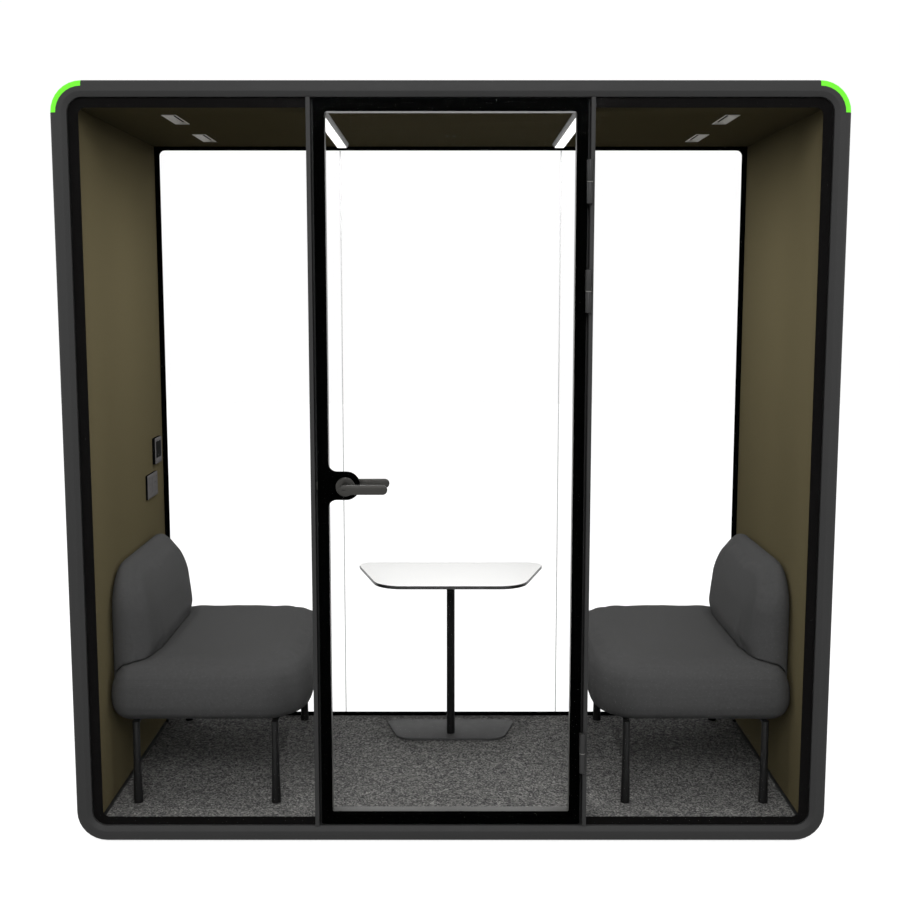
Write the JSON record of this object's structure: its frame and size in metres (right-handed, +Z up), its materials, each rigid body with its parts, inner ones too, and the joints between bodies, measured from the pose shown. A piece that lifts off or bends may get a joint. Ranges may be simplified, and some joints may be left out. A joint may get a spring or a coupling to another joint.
{
  "type": "acoustic office pod",
  "caption": "Rounded-rectangle acoustic meeting pod with glazed front and back, outward-opening glass door, felt walls, facing upholstered benches and a small column table.",
  "frame": {"origin": "on the floor, under the middle of the pod's bounding box, which runs from the outside lever to the rear ring", "axes": "+X to the right seen from the front, along the width; +Y from the glazed door side to the rear glass; +Z up"},
  "size_m": [2.27, 1.072, 2.256],
  "materials": {
    "ring_paint": "charcoal powder coat on a folded profile",
    "shell_board": "charcoal lacquer on laminated acoustic board",
    "post_paint": "charcoal powder coat",
    "black_aluminium": "black anodised",
    "black_steel": "black powder coat",
    "satin_aluminium": "satin anodised",
    "hinge_steel": "dark satin",
    "handle_metal": "dark satin",
    "clear_glass": "clear laminated",
    "status_lens": "frosted, lit green",
    "light_lens": "opal diffuser, lit",
    "grey_plastic": "fine matte",
    "dark_plastic": "fine matte",
    "olive_felt": "pressed felt",
    "grey_carpet": "mottled loop pile",
    "grey_upholstery": "fine woven wool",
    "white_laminate": "white satin laminate with a black edge",
    "foot_rubber": "matte"
  },
  "bodies": {
    "pod": {"front_ring": "ring_paint", "rear_ring": "ring_paint", "status_light_left": "status_lens", "status_light_right": "status_lens", "roof_shell": "shell_board", "base_shell": "shell_board", "left_side_panel": "shell_board", "right_side_panel": "shell_board", "foot_front_left": "foot_rubber", "foot_front_right": "foot_rubber", "foot_rear_left": "foot_rubber", "foot_rear_right": "foot_rubber", "fan_housing": "dark_plastic", "left_wall_lining": "olive_felt", "right_wall_lining": "olive_felt", "ceiling_lining": "olive_felt", "carpet": "grey_carpet", "front_glass_left": "clear_glass", "front_glass_right": "clear_glass", "rear_glass_left": "clear_glass", "rear_glass_centre": "clear_glass", "rear_glass_right": "clear_glass", "door_post_left": "post_paint", "door_post_right": "post_paint", "door_lining": "satin_aluminium", "door_threshold": "satin_aluminium", "hinge_post_bottom": "hinge_steel", "hinge_post_middle": "hinge_steel", "hinge_post_top": "hinge_steel", "light_bar_left": "satin_aluminium", "light_bar_right": "satin_aluminium", "light_lens_left": "light_lens", "light_lens_right": "light_lens", "air_outlet_left_front": "grey_plastic", "air_outlet_left_rear": "grey_plastic", "air_outlet_right_front": "grey_plastic", "air_outlet_right_rear": "grey_plastic", "control_panel": "dark_plastic", "socket_plate": "dark_plastic", "table_top": "white_laminate", "table_column": "black_steel", "table_base": "black_steel", "left_bench_seat": "grey_upholstery", "left_bench_back": "grey_upholstery", "left_bench_frame": "black_steel", "right_bench_seat": "grey_upholstery", "right_bench_back": "grey_upholstery", "right_bench_frame": "black_steel"},
    "door": {"door_glass": "clear_glass", "door_frame": "black_aluminium", "rosette_outside": "handle_metal", "rosette_inside": "handle_metal", "hinge_leaf_bottom": "hinge_steel", "hinge_leaf_middle": "hinge_steel", "hinge_leaf_top": "hinge_steel"},
    "handle": {"lever_outside": "handle_metal", "lever_inside": "handle_metal"},
    "latch": {"latch_bolt": "handle_metal"},
    "fan": {"fan_impeller": "dark_plastic"}
  },
  "joints": [
    {"name": "door_swing", "type": "hinge", "parent": "pod", "child": "door", "pos_m": [0.3955, -0.483, 1.13], "axis": [0, 0, 1], "range_deg": [0, 110]},
    {"name": "handle_turn", "type": "hinge", "parent": "door", "child": "handle", "pos_m": [-0.309, -0.467, 1.095], "axis": [0, 1, 0], "range_deg": [0, 40], "stiffness_Nm_per_rad": 1.2, "springref_deg": -28.65},
    {"name": "latch_slide", "type": "slide", "parent": "door", "child": "latch", "axis": [1, 0, 0], "range_m": [0, 0.01]},
    {"name": "fan_spin", "type": "hinge", "parent": "pod", "child": "fan", "pos_m": [0, 0.045, 2.22], "axis": [0, 0, 1], "continuous": true}
  ],
  "couplings": [
    {"joint": "latch_slide", "follows": "handle_turn", "m_per_rad": 0.0143}
  ]
}
